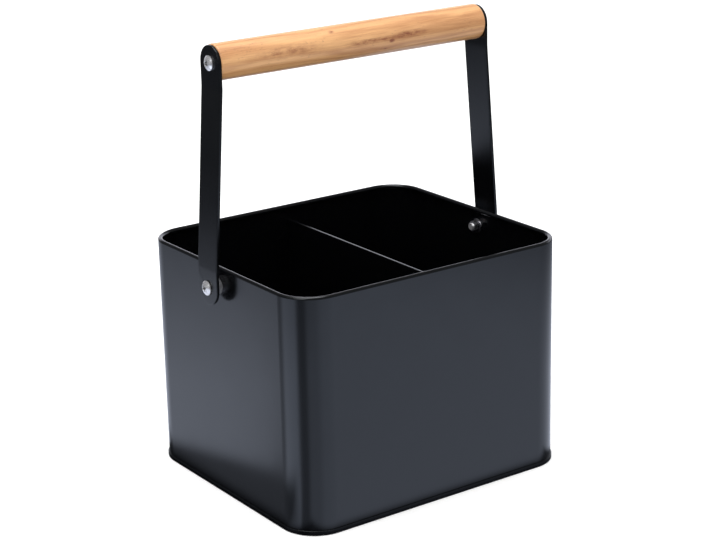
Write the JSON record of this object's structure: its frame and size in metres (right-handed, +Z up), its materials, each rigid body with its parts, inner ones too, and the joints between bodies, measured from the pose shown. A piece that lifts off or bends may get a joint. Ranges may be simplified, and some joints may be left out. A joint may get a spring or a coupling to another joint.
{
  "type": "utensil caddy",
  "caption": "Open-topped black steel utensil caddy with a central divider and a swinging carrying handle with a round wooden grip.",
  "frame": {"origin": "on the table, under the middle of the body's base", "axes": "+X to the right, +Y to the back, +Z up; the handle turns about X"},
  "size_m": [0.22, 0.1764, 0.282],
  "materials": {
    "black_powder_coat": "satin black powder coat on sheet steel",
    "black_arm_coat": "satin black powder coat on steel strap",
    "varnished_beech": "clear satin varnish on beech",
    "zinc_plated_steel": "bright zinc plate"
  },
  "bodies": {
    "caddy": {"wall_sleeve": "black_powder_coat", "base_pan": "black_powder_coat", "divider": "black_powder_coat", "pivot_screw_left": "zinc_plated_steel", "pivot_screw_right": "zinc_plated_steel", "pivot_spacer_left": "zinc_plated_steel", "pivot_spacer_right": "zinc_plated_steel", "pivot_washer_left": "zinc_plated_steel", "pivot_washer_right": "zinc_plated_steel", "pivot_nut_left": "zinc_plated_steel", "pivot_nut_right": "zinc_plated_steel"},
    "handle": {"handle_arm_left": "black_arm_coat", "handle_arm_right": "black_arm_coat", "wood_grip": "varnished_beech", "grip_screw_left": "zinc_plated_steel", "grip_screw_right": "zinc_plated_steel"}
  },
  "joints": [
    {"name": "handle_swing", "type": "hinge", "parent": "caddy", "child": "handle", "pos_m": [0, 0, 0.136], "axis": [1, 0, 0], "range_deg": [-110, 110]}
  ]
}
